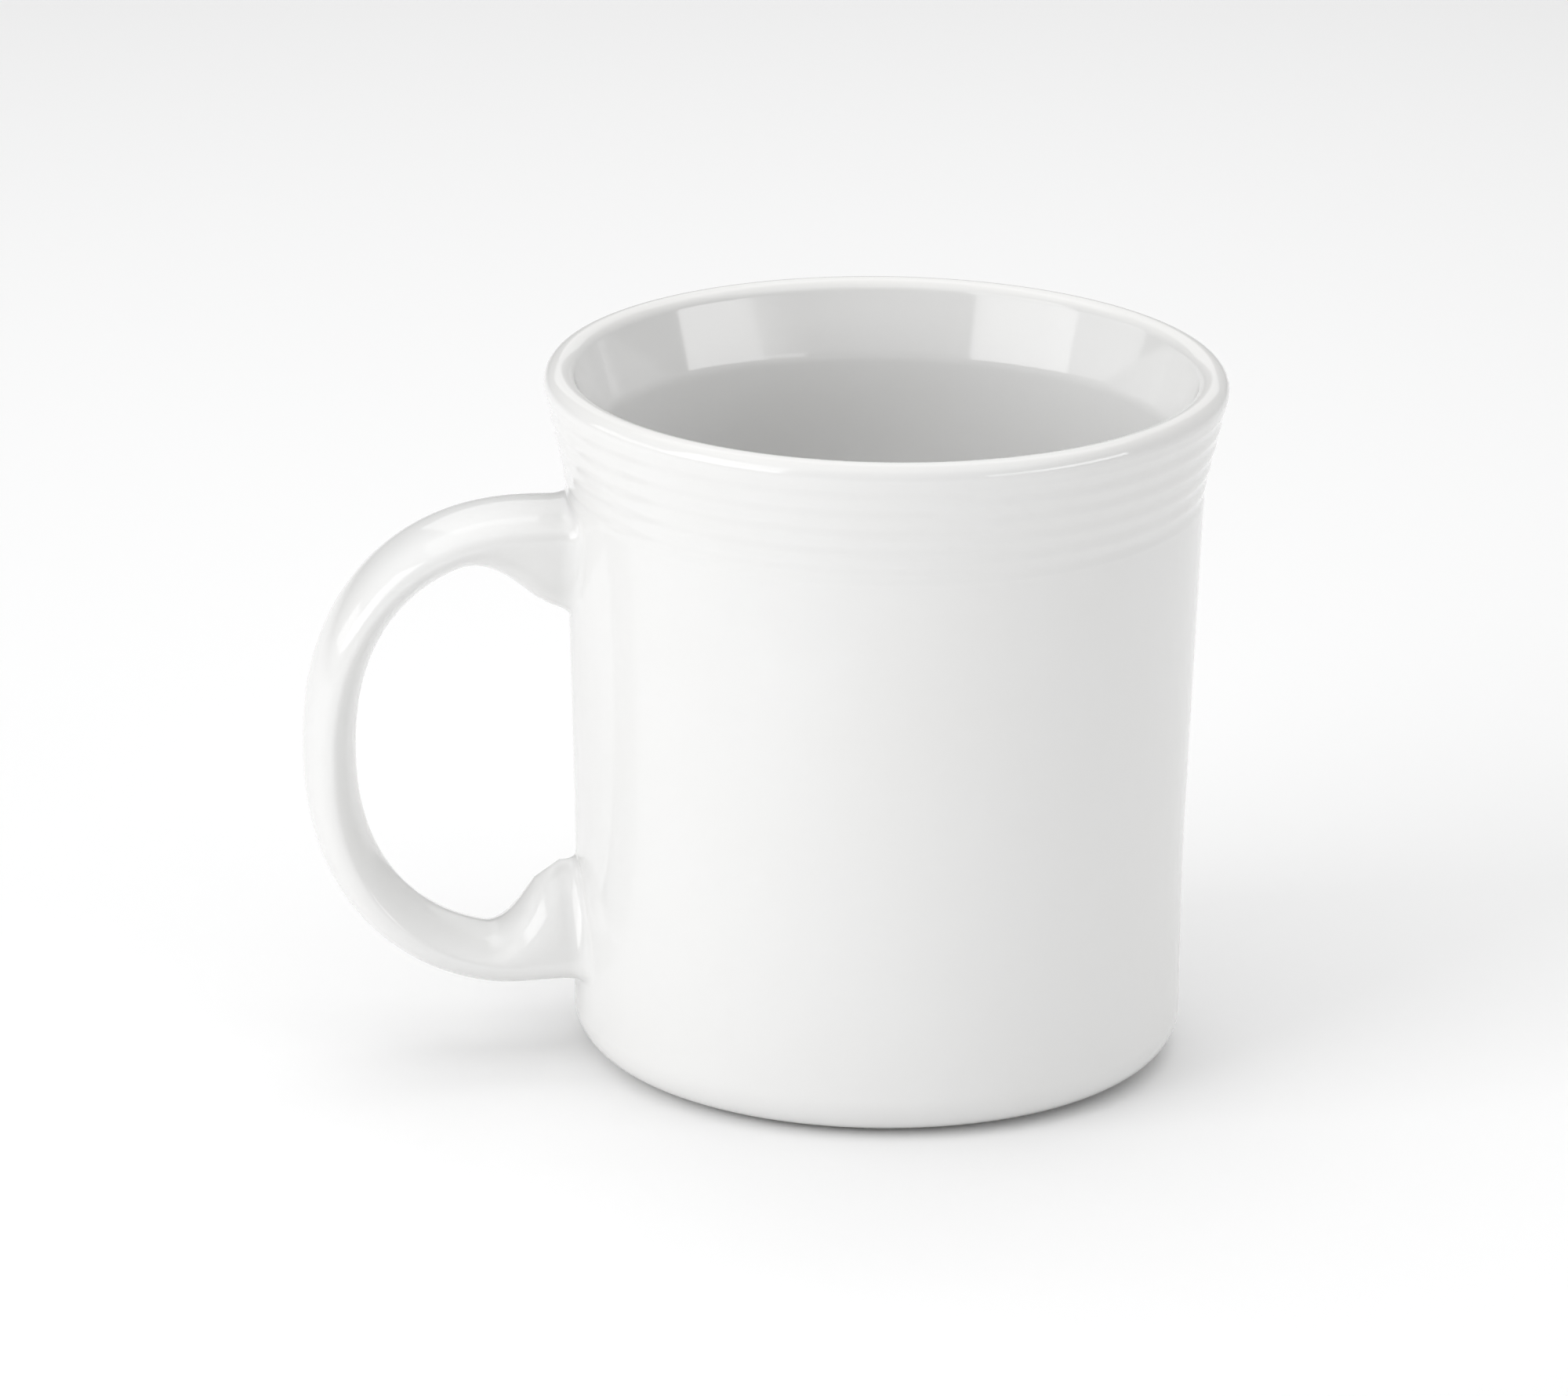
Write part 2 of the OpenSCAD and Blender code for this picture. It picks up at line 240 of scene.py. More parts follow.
def arc(r, z, radius, start, end, side=1):
    """Rows round an arc, from one angle in degrees to another."""
    a = np.radians(np.linspace(start, end, ARC_STEPS + 1))
    return rows(r + radius * np.cos(a), z + radius * np.sin(a), side * np.cos(a), side * np.sin(a))


def inset(outline, depth):
    """The same outline, moved into the solid."""
    moved = outline.copy()
    moved[:, :2] -= depth * outline[:, 2:]
    return moved


def back_of(outline):
    """The outline walked backwards, facing the other way."""
    return outline[::-1] * [1, 1, -1, -1]


def edge(start, end):
    """Two rows from one point to another, facing square to the right of the way between them."""
    way = end[:2] - start[:2]
    if np.hypot(*way) < TINY:
        return np.zeros((0, 4))
    return rows([start[0], end[0]], [start[1], end[1]], way[1], -way[0])


class CupShape:
    """The cup's outlines, worked out from the settings."""

    def __init__(self, scene):
        cup, foot, grooves = scene.mug_cup, scene.mug_foot, scene.mug_grooves
        self.cup, self.foot, self.grooves = cup, foot, grooves
        self.coat = scene.mug_finish.coat
        self.base_r = cup.base / 2
        self.neck_r = cup.neck / 2
        self.lip_r = cup.lip / 2
        self.lip_x = cup.rim / 2 - self.lip_r
        self.lip_z = cup.height - self.lip_r
        self.neck_z = cup.height - cup.flare
        self.taper_slope = (self.neck_r - self.base_r) / (self.neck_z - cup.taper)
        # A flare is its angle from the vertical, the height where it begins and its blend there
        self.outer_flare = (self.flare_angle(self.neck_r, self.neck_z, 1), self.neck_z, NECK_BLEND)
        neck_z = cup.height - cup.inner_flare
        neck_r = self.base_r - cup.wall + self.taper_slope * (neck_z - cup.taper)
        self.inner_flare = (self.flare_angle(neck_r, neck_z, -1), neck_z, INNER_BLEND)
        self.heel_x = self.base_r - cup.heel
        self.heel_z = foot.bare + cup.heel
        self.foot_out = self.heel_x - foot.inset
        self.foot_in = self.foot_out - foot.width
        self.floor_z = foot.recess + cup.floor
        self.groove_top = cup.height - grooves.drop + grooves.pitch / 2
        self.groove_low = self.groove_top - grooves.count * grooves.pitch

    def flare_angle(self, r, z, side):
        """Angle from the vertical of the line from a point at the neck that touches the lip."""
        dr, dz = self.lip_x - r, self.lip_z - z
        return math.atan2(dr, dz) + side * math.asin(self.lip_r / math.hypot(dr, dz))

    def wall(self, z, r, flare):
        """Radius and slope of a wall that starts as r at the heel and ends in a flare."""
        angle, neck_z, blend = flare
        turn = math.tan(angle) - self.taper_slope
        radius = (r + bend(z, self.cup.taper, self.taper_slope, BELLY_BLEND)
                  + bend(z, neck_z, turn, blend))
        slope = (bend_slope(z, self.cup.taper, self.taper_slope, BELLY_BLEND)
                 + bend_slope(z, neck_z, turn, blend))
        return radius, slope

    def groove(self, z):
        """Relief and slope of the grooves, whose crests lie on the wall."""
        turn = 2 * math.pi / self.grooves.pitch
        inside = (z > self.groove_low) & (z < self.groove_top)
        depth = np.where(inside, self.grooves.depth / 2, 0)
        phase = turn * (self.groove_top - z)
        return -depth * (1 - np.cos(phase)), depth * turn * np.sin(phase)

    def glazed(self, z):
        """Radius and slope of the glazed outside at a height."""
        radius, slope = self.wall(z, self.base_r, self.outer_flare)
        relief, relief_slope = self.groove(z)
        return radius + relief, slope + relief_slope

    def clay_radius(self, z):
        """Radius of the clay under the outer glaze at a height."""
        slope = self.wall(z, self.base_r, self.outer_flare)[1]
        return self.glazed(z)[0] - self.coat * np.hypot(1, slope)

    def wall_heights(self, low, high):
        """Heights of the rows of plain wall between two others."""
        count = max(2, math.ceil((high - low) / WALL_ROW))
        return np.linspace(low, high, count + 1)[1:-1]

    def outside(self):
        """The glazed outside, from beside the bare ring up to the top of the lip."""
        steps = self.grooves.count * GROOVE_STEPS
        z = np.concatenate([self.wall_heights(self.heel_z, self.groove_low),
                            np.linspace(self.groove_low, self.groove_top, steps + 1)])
        radius, slope = self.glazed(z)
        return np.vstack([
            rows(self.foot_out, [self.foot.bare], 0, -1),
            arc(self.heel_x, self.heel_z, self.cup.heel, -90, 0),
            rows(radius, z, 1, -slope),
            arc(self.lip_x, self.lip_z, self.lip_r, -math.degrees(self.outer_flare[0]), 90)])

    def inside(self):
        """The glazed inside, from the top of the lip down to the middle of the floor."""
        well = self.base_r - self.cup.wall - self.cup.well
        angle, neck_z, blend = self.inner_flare
        low, high = neck_z - blend / 2, neck_z + blend / 2
        z = np.concatenate([
            self.wall_heights(self.floor_z + self.cup.well, low),
            np.linspace(low, high, ARC_STEPS // 2 + 1),
            self.wall_heights(high, self.lip_z + self.lip_r * math.sin(angle))])[::-1]
        radius, slope = self.wall(z, self.base_r - self.cup.wall, self.inner_flare)
        return np.vstack([
            arc(self.lip_x, self.lip_z, self.lip_r, 90, 180 - math.degrees(angle)),
            rows(radius, z, -1, slope),
            arc(well, self.floor_z + self.cup.well, self.cup.well, 0, -90, -1),
            rows(np.linspace(well, 0, ARC_STEPS)[1:], self.floor_z, 0, 1)])

    def underside(self):
        """The glazed recess, from its middle out to the bare ring."""
        r, top = self.foot_in - self.coat, self.foot.recess
        corner = arc(r - RECESS_ROUND, top - RECESS_ROUND, RECESS_ROUND, 90, 0, -1)
        return np.vstack([
            rows(np.linspace(0, r - RECESS_ROUND, ARC_STEPS)[:-1], top, 0, -1), corner,
            rows([r], self.foot.bare, -1, 0)])


# ---- Shape of the handle -----------------------------------------------------------------------


def signed_power(value, power):
    """A power of a number's size, with the number's sign."""
    return np.sign(value) * np.abs(value) ** power


def ease(t):
    """0 below 0 and 1 above 1, with a smooth rise between them."""
    t = np.clip(t, 0, 1)
    return t * t * (3 - 2 * t)


class HandleShape:
    """Rings of points round the handle, worked out from the settings.

    A station is [distance from the axis, height, out of the loop r, out of the loop z], and a
    side is 1 for the upper arm and -1 for the lower one.
    """

    def __init__(self, scene, cup):
        self.handle, self.root, self.cup = scene.mug_handle, scene.mug_root, cup
        self.upper_z = cup.neck_z - self.handle.upper_drop
        self.lower_z = self.handle.lower_rise
        widest = max(cup.clay_radius(self.upper_z), cup.clay_radius(self.lower_z))
        self.arm_x = widest + self.root.slip + self.handle.arm
        self.mid_z = (self.upper_z + self.lower_z) / 2
        self.half_h = (self.upper_z - self.lower_z) / 2
        self.turn = np.linspace(0, 2 * math.pi, SECTION_POINTS, endpoint=False)

    def loop_stations(self):
        """Stations from the end of the upper arm round to the end of the lower one."""
        a = np.radians(90 * np.cos(np.linspace(0, math.pi, LOOP_STEPS + 1)))
        power = 2 / self.handle.loop
        c, s = np.abs(np.cos(a)), np.sin(a)
        c[[0, -1]] = 0
        return rows(self.arm_x + self.handle.reach * c ** power,
                    self.mid_z + self.half_h * signed_power(s, power),
                    c ** (2 - power) / self.handle.reach,
                    signed_power(s, 2 - power) / self.half_h)

    def arm_end(self, side):
        """Distance from the axis at which an arm meets its slip."""
        return self.cup.clay_radius(self.mid_z + side * self.half_h) + self.root.slip

    def arm_station(self, r, side):
        """Station on a straight arm, at a distance from the axis."""
        return np.array([r, self.mid_z + side * self.half_h, 0, side])

    def half_sizes(self, station, coat):
        """Half sizes of the section: out of the loop, into the loop and across."""
        h, upper = self.handle, station[1] > self.mid_z
        run = h.upper_run if upper else h.lower_run
        swell = h.upper_swell if upper else h.lower_swell
        root = ease((self.arm_x + run * 2 / 3 - station[0]) / run)
        return (h.thick / 2 - (0 if upper else h.tuck) * root - coat,
                h.thick / 2 + swell * root - coat,
                (h.wide + h.root_wide * root) / 2 - coat)

    def section_power(self):
        """Power of each point of the section: the palm's side can differ from the outer one."""
        inward = np.sin(self.turn) < -TINY
        return 2 / np.where(inward, self.handle.palm, self.handle.back)

    def section(self, half):
        """Points of a section, as how far they lie out of the loop and across."""
        power = self.section_power()
        u = signed_power(np.sin(self.turn), power)
        across = half[2] * signed_power(np.cos(self.turn), power)
        return np.where(u > 0, half[0], half[1]) * u, across

    def section_normals(self, half):
        """Directions out of the section at its points."""
        power = 2 - self.section_power()
        u = signed_power(np.sin(self.turn), power)
        out = u / np.where(u > 0, half[0], half[1])
        across = signed_power(np.cos(self.turn), power) / half[2]
        size = np.hypot(out, across)
        return out / size, across / size

    def ring(self, station, coat):
        """Points round the handle at a station."""
        out, across = self.section(self.half_sizes(station, coat))
        r, z, out_r, out_z = station
        return np.column_stack([-(r + out * out_r), across, z + out * out_z])

    def fillet_outline(self, side, tuck=0.0):
        """Outline of a fillet on the wall, as heights and distances across."""
        station = self.arm_station(self.arm_end(side), side)
        half = self.half_sizes(station, self.cup.coat)
        out, across = self.section(half)
        out_n, across_n = self.section_normals(half)
        reach = self.root.end + (self.root.side - self.root.end) * across_n ** 2 - tuck
        return station[1] + side * (out + reach * out_n), across + reach * across_n

    def on_wall(self, z, across, bare):
        """Points on the cup's wall, bare or glazed."""
        radius = self.cup.clay_radius(z) if bare else self.cup.glazed(z)[0]
        return np.column_stack([-np.sqrt(radius ** 2 - across ** 2), across, z])

    def fillet_rings(self, side, coat):
        """Rings from the handle to the wall that leave both without a step."""
        end = self.arm_end(side)
        start = self.ring(self.arm_station(end + self.root.run, side), coat)
        out, across = self.section(self.half_sizes(self.arm_station(end, side), coat))
        corner = self.on_wall(self.mid_z + side * (self.half_h + out), across, coat > 0)
        foot = self.on_wall(*self.fillet_outline(side), coat > 0)
        steps = np.linspace(0, 1, FILLET_RINGS + 1)[1:, None, None]
        return (1 - steps) ** 2 * start + 2 * steps * (1 - steps) * corner + steps ** 2 * foot

    def rings(self, coat):
        """All rings of the handle's skin, from the wall at the top to the wall at the bottom."""
        arms = [self.ring(self.arm_station(self.arm_end(side) + self.root.run, side), coat)[None]
                for side in (1, -1)]
        loop = np.array([self.ring(s, coat) for s in self.loop_stations()])
        return np.concatenate([self.fillet_rings(1, coat)[::-1], arms[0], loop, arms[1],
                               self.fillet_rings(-1, coat)])


# ---- Meshes ------------------------------------------------------------------------------------


class Skin:
    """Points, faces and the direction at each corner of each face, gathered for one mesh."""

    def __init__(self):
        self.points, self.faces, self.corners = [], [], []

    def add_points(self, points):
        first = len(self.points)
        self.points.extend(map(tuple, points))
        return np.arange(first, first + len(points))

    def add_face(self, ids, directions=None):
        """A face, with its repeated points dropped. It is flat unless it has directions."""
        keep = [i for i in range(len(ids)) if ids[i] != ids[i - 1]]
        ids = [int(ids[i]) for i in keep]
        if len(ids) < 3:
            return
        if directions is None:
            p = [Vector(self.points[i]) for i in ids]
            flat = (p[1] - p[0]).cross(p[-1] - p[0]) + (p[-1] - p[-2]).cross(p[1] - p[-2])
            directions = [tuple(flat.normalized())] * len(ids)
        else:
            directions = [tuple(directions[i]) for i in keep]
        self.faces.append(ids)
        self.corners.extend(directions)

    def add_band(self, low, high, low_dirs, high_dirs, skip=()):
        """Faces between two rings of points, apart from the skipped ones."""
        count = len(low)
        for i in range(count):
            if i in skip:
                continue
            j = (i + 1) % count
            self.add_face((low[i], low[j], high[j], high[i]),
                          (low_dirs[i], low_dirs[j], high_dirs[j], high_dirs[i]))

    def to_piece(self, name, material, slot, *nodes):
        """Makes the object, in place of the CAD nodes that it stands for."""
        mesh = bpy.data.meshes.new(name)
        mesh.from_pydata(self.points, [], self.faces)
        mesh.shade_smooth()
        mesh.normals_split_custom_set(self.corners)
        mesh.materials.append(material)
        piece = bpy.data.objects.new(name, mesh)
        bpy.context.scene.collection.objects.link(piece)
        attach(piece, "root")
        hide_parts(*nodes)
        return piece


def turned(values):
    """A point or direction of an outline, carried round the cup's axis."""
    a = np.linspace(0, 2 * math.pi, TURNS, endpoint=False)
    return np.column_stack([values[0] * np.cos(a), values[0] * np.sin(a),
                            np.full(TURNS, values[1])])


def turn_coat(face, back, opened=()):
    """A coat turned on the lathe, from the outline of its face and the one of its back.

    The last rows of the two outlines match one to one. Cells in opened, which are pairs of a row
    of the back and a turn, are left out of both, and the opening gets a wall between them.
    """
    skin = Skin()
    ends = [edge(face[-1], back[-1]), edge(back[0], face[0])]
    front = [ring_ids(skin, row) for row in face]
    rear = [ring_ids(skin, row) for row in back]
    offset = len(face) - len(back)
    holes = {}
    for row, turn in opened:
        holes.setdefault(row, set()).add(turn)

    def strip(ids, outline, skipped):
        directions = [turned(row[2:]) for row in outline]
        for i in range(len(outline) - 1):
            skin.add_band(ids[i], ids[i + 1], directions[i], directions[i + 1], skipped(i))

    strip(front, face, lambda i: holes.get(i - offset, ()))
    strip(rear[::-1], back_of(back), lambda i: holes.get(len(back) - 2 - i, ()))
    for end, ids in zip(ends, ([front[-1], rear[-1]], [rear[0], front[0]])):
        if len(end) and end[:, 0].max() > TINY:
            strip(ids, end, lambda i: ())
    cells = set(opened)
    for row, turn in sorted(cells):
        after = (turn + 1) % TURNS
        sides = (((row - 1, turn), (row, turn), (row, after)),
                 ((row, after), (row, after), (row + 1, after)),
                 ((row + 1, turn), (row + 1, after), (row + 1, turn)),
                 ((row, (turn - 1) % TURNS), (row + 1, turn), (row, turn)))
        for neighbour, a, b in sides:
            if neighbour not in cells:
                skin.add_face((front[a[0] + offset][a[1]], front[b[0] + offset][b[1]],
                               rear[b[0]][b[1]], rear[a[0]][a[1]]))
    return skin


def ring_ids(skin, row):
    """Adds a turned row to a skin: a ring of points, or one point on the axis."""
    if row[0] < TINY:
        return np.repeat(skin.add_points([(0, 0, row[1])]), TURNS)
    return skin.add_points(turned(row))


def tangents(points, axis, closed):
    """Direction of travel through points along an axis of their grid, true to second order."""
    points = np.moveaxis(points, axis, 0)
    ahead = np.roll(points, -1, 0) - points
    behind = np.roll(ahead, 1, 0)
    far = np.linalg.norm(ahead, axis=-1, keepdims=True)
    near = np.linalg.norm(behind, axis=-1, keepdims=True)
    way = ahead * near / far + behind * far / near
    if not closed:
        way[0], way[-1] = ahead[0], behind[-1]
    return np.moveaxis(way, 0, axis)


def grid_normals(rings):
    """Directions out of a tube of rings."""
    out = np.cross(tangents(rings, 0, False), tangents(rings, 1, True))
    return out / np.linalg.norm(out, axis=-1, keepdims=True)


# ---- Finishes ----------------------------------------------------------------------------------


class Wire:
    """An output socket in a finish. Arithmetic on it adds the Math nodes."""

    def __init__(self, tree, socket):
        self.tree, self.socket = tree, socket

    def add(self, kind, settings=None, values=None, output=0):
        """Adds a node: its settings first, and then the values or wires of its sockets."""
        node = self.tree.nodes.new(kind)
        for name, value in (settings or {}).items():
            setattr(node, name, value)
        for name, value in (values or {}).items():
            if isinstance(value, Wire):
                self.tree.links.new(value.socket, node.inputs[name])
            else:
                node.inputs[name].default_value = value
        return Wire(self.tree, node.outputs[output])

    def math(self, operation, *values):
        return self.add("ShaderNodeMath", {"operation": operation}, dict(enumerate(values)))

    def __add__(self, other):
        return self.math("ADD", self, other)

    __radd__ = __add__

    def __mul__(self, other):
        return self.math("MULTIPLY", self, other)

    __rmul__ = __mul__

    def __sub__(self, other):
        return self.math("SUBTRACT", self, other)

    def __rsub__(self, other):
        return self.math("SUBTRACT", other, self)

    def __lt__(self, other):
        return self.math("LESS_THAN", self, other)

    def noise(self, size, detail=2.0, seed=0.0):
        """Cloudy noise from 0 to 1, whose patches are about that many metres across."""
        return self.add("ShaderNodeTexNoise", {"noise_dimensions": "4D"},
                        {"Vector": self, "W": seed, "Scale": 1 / size, "Detail": detail})

    def fade(self, low, high):
        """0 below one value and 1 above another, eased between them."""
        return self.add("ShaderNodeMapRange", {"interpolation_type": "SMOOTHSTEP"},
                        {"Value": self, "From Min": low, "From Max": high})

    def mix(self, low, high):
        """A colour between two others, by this share."""
        return self.add("ShaderNodeMix", {"data_type": "RGBA"},
                        {"Factor": self, 6: as_colour(low), 7: as_colour(high)}, 2)

    def part(self, axis):
        """One of the three numbers of a place."""
        return self.add("ShaderNodeSeparateXYZ", None, {"Vector": self}, axis)

    def specks(self, spacing, radius, chance, seed):
        """1 in rare round specks and 0 between them."""
        kind = {"voronoi_dimensions": "4D"}
        values = {"Vector": self, "W": seed, "Scale": 1 / spacing}
        near = self.add("ShaderNodeTexVoronoi", kind, values, "Distance")
        pick = self.add("ShaderNodeTexVoronoi", kind, values, "Color").part(0)
        size = radius / spacing
        return (1 - near.fade(size * 0.6, size)) * (pick < chance)

    def bump(self, height, normal=None):
        """The surface direction over this relief, whose 0 to 1 spans that many metres."""
        return self.add("ShaderNodeBump", None,
                        {"Height": self, "Distance": height} | ({"Normal": normal} if normal else {}))


def as_colour(value):
    """A colour that a socket takes: a wire as it is, and plain numbers made opaque."""
    return value if isinstance(value, Wire) else (*value, 1)


def start_finish(name):
    """A new material, with its shader and the place on the object as its first wire."""
    material = bpy.data.materials.new(name)
    material.use_nodes = True
    tree = material.node_tree
    shader = tree.nodes["Principled BSDF"]
    place = tree.nodes.new("ShaderNodeTexCoord").outputs["Object"]
    return material, shader, Wire(tree, place)


def wire_up(shader, **wires):
    """Links the wires to the shader's sockets, whose names have _ for a space."""
    for name, wire in wires.items():
        wire.tree.links.new(wire.socket, shader.inputs[name.replace("_", " ")])


def glaze_finish(scene):
    """Glossy opaque glaze, with a soft sway, a fine peel and a few specks."""
    if "white_glaze_finish" in bpy.data.materials:
        return bpy.data.materials["white_glaze_finish"]
    finish = scene.mug_finish
    material, shader, place = start_finish("white_glaze_finish")
    shader.inputs["IOR"].default_value = GLAZE_IOR
    cloud = place.noise(0.022, 3.0, 1.0).fade(0.30, 0.75)
    lip = place.part(2).fade(scene.mug_cup.height - THIN_BAND, scene.mug_cup.height)
    glaze = (cloud * 0.35 + lip * 0.5).mix(finish.glaze, finish.thin)
    specks = place.specks(0.0085, 0.00016, 0.07, 3.0)
    sway = place.noise(0.013, 1.0, 5.0).bump(finish.sway)
    peel = place.noise(0.0016, 2.0, 7.0).bump(finish.peel, sway)
    wire_up(shader,
            Base_Color=(specks * 0.8).mix(glaze, finish.speck),
            Roughness=finish.gloss + cloud * 0.03 + specks * 0.2,
            Normal=peel)
    return material


def clay_finish(scene):
    """Bare fired stoneware: matt and grainy, with fine iron specks, and rubbed on the ring."""
    finish = scene.mug_finish
    material, shader, place = start_finish("fired_clay_finish")
    cloud = place.noise(0.006, 4.0, 11.0).fade(0.3, 0.7)
    grain = place.noise(0.00025, 3.0, 13.0)
    specks = place.specks(0.0016, 0.00014, 0.35, 17.0)
    rubbed = 1 - place.part(2).fade(0.0, 0.00012)
    deep = tuple(c * 0.86 for c in finish.clay)
    pale = tuple(min(1, c * 1.12) for c in finish.clay)
    clay = (cloud * 0.6 + grain * 0.4).mix(deep, pale)
    worn = (rubbed * 0.35).mix(clay, tuple(c * 0.72 for c in finish.clay))
    wire_up(shader,
            Base_Color=(specks * 0.6).mix(worn, finish.speck),
            Roughness=0.92 - rubbed * 0.18,
            Normal=grain.bump(0.00003))
    return material


def slip_finish(scene):
    """Fired slip: a smoother, slightly darker clay with brush ripples."""
    finish = scene.mug_finish
    material, shader, place = start_finish("fired_slip_finish")
    cloud = place.noise(0.004, 3.0, 19.0).fade(0.3, 0.7)
    ripple = place.noise(0.0007, 2.0, 23.0)
    wire_up(shader,
            Base_Color=cloud.mix(tuple(c * 0.9 for c in finish.slip), finish.slip),
            Roughness=0.78 + cloud * 0.1,
            Normal=ripple.bump(0.00004))
    return material


def floor_finish(scene):
    """Matt pale floor with the faintest tooth."""
    material, shader, place = start_finish("floor_finish")
    shader.inputs["Specular IOR Level"].default_value = 0.0
    pale = scene.mug_stage.floor
    cloud = place.noise(0.5, 2.0, 29.0)
    wire_up(shader, Base_Color=cloud.mix(pale, tuple(c * 0.995 for c in pale)),
            Roughness=0.9 + cloud * 0.05)
    return material


# ---- Operators ---------------------------------------------------------------------------------


class MUG_OT_outer_coat(Operator):
    """Glazes the outside of the cup, from the bare ring up to the top of the lip"""

    bl_idname = "mug.outer_coat"
    bl_label = "Outer glaze"

    def execute(self, context):
        scene = context.scene
        cup = CupShape(scene)
        handle = HandleShape(scene, cup)
        path = cup.outside()
        rolled = arc(cup.foot_out + GLAZE_EDGE, cup.foot.bare + GLAZE_EDGE, GLAZE_EDGE, 180, 270)
        back = inset(path, cup.coat)
        face = np.vstack([rolled, path[1:]])
        opened = [cell for side in (1, -1) for cell in self.cells_under(handle, path, side)]
        if not opened:
            raise RuntimeError("the outer glaze has no cells under the handle's roots")
        turn_coat(face, back, opened).to_piece(
            "outer_coat", glaze_finish(scene), "white_glaze", "outer_glaze")
        return {"FINISHED"}

    @staticmethod
    def cells_under(handle, path, side):
        """Cells of the coat that lie wholly under a handle root."""
        heights, across = handle.fillet_outline(side, TUCK)
        middle = handle.mid_z + side * handle.half_h
        bearing = np.arctan2(across, heights - middle)
        order = np.argsort(bearing)
        reach = np.hypot(heights - middle, across)[order]
        turn = np.linspace(0, 2 * math.pi, TURNS, endpoint=False)
        x, y = (path[:, :1] * wave(turn) for wave in (np.cos, np.sin))
        up = path[:, 1:2] - middle + 0 * y
        limit = np.interp(np.arctan2(y, up), bearing[order], reach, period=2 * math.pi)
        under = (x < 0) & (np.hypot(up, y) < limit)
        cell = under[:-1] & under[1:]
        cell &= np.roll(cell, -1, 1)
        return [(int(row), int(turn)) for row, turn in np.argwhere(cell)]


class MUG_OT_liner_coat(Operator):
    """Glazes the inside of the cup, from the top of the lip down to the floor"""

    bl_idname = "mug.liner_coat"
    bl_label = "Liner glaze"

    def execute(self, context):
        cup = CupShape(context.scene)
        path = cup.inside()
        turn_coat(path, inset(path, cup.coat)).to_piece(
            "liner_coat", glaze_finish(context.scene), "white_glaze", "liner_glaze")
        return {"FINISHED"}


class MUG_OT_foot_coat(Operator):
    """Glazes the recess under the cup, with a rolled edge beside the bare ring"""

    bl_idname = "mug.foot_coat"
    bl_label = "Foot glaze"

    def execute(self, context):
        cup = CupShape(context.scene)
        path = cup.underside()
        rolled = arc(cup.foot_in - cup.coat + GLAZE_EDGE, cup.foot.bare + GLAZE_EDGE,
                     GLAZE_EDGE, 180, 270)
        back = inset(path, cup.coat)
        turn_coat(np.vstack([path[:-1], rolled]), back).to_piece(
            "foot_coat", glaze_finish(context.scene), "white_glaze", "foot_glaze")
        return {"FINISHED"}


class MUG_OT_handle_coat(Operator):
    """Glazes the handle and the fillets at its roots"""

    bl_idname = "mug.handle_coat"
    bl_label = "Handle glaze"

    def execute(self, context):
        scene = context.scene
        cup = CupShape(scene)
        handle = HandleShape(scene, cup)
        outer, inner = handle.rings(0.0), handle.rings(cup.coat)
        skin = Skin()
        face, back = ([skin.add_points(ring) for ring in rings] for rings in (outer, inner))
        out = grid_normals(outer)
        for end in (0, -1):
            out[end] = self.wall_normals(cup, outer[end])
        into = -grid_normals(inner)
        for i in range(len(face) - 1):
            skin.add_band(face[i + 1], face[i], out[i + 1], out[i])
            skin.add_band(back[i], back[i + 1], into[i], into[i + 1])
        count = SECTION_POINTS
        for i in range(count):
            j = (i + 1) % count
            skin.add_face((face[0][i], face[0][j], back[0][j], back[0][i]))
            skin.add_face((face[-1][j], face[-1][i], back[-1][i], back[-1][j]))
        skin.to_piece("handle_coat", glaze_finish(scene), "white_glaze", "handle_glaze")
        return {"FINISHED"}

    @staticmethod
    def wall_normals(cup, points):
        """Directions out of the cup's wall at points on it."""
        slope = cup.glazed(points[:, 2])[1]
        radius = np.hypot(points[:, 0], points[:, 1])
        out = np.column_stack([points[:, 0] / radius, points[:, 1] / radius, -slope])
        return out / np.linalg.norm(out, axis=1, keepdims=True)


class MUG_OT_bare_clay(Operator):
    """Finishes the clay of the cup and handle and the slip of the joints, which keep their shape"""

    bl_idname = "mug.bare_clay"
    bl_label = "Clay and slip"

    def execute(self, context):
        finishes = {"cup_body": clay_finish(context.scene)}
        finishes["handle_body"] = finishes["cup_body"]
        finishes["upper_slip_joint"] = finishes["lower_slip_joint"] = slip_finish(context.scene)
        for node, material in finishes.items():
            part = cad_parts[node]
            for slot in part.material_slots:
                slot.material = material
        return {"FINISHED"}


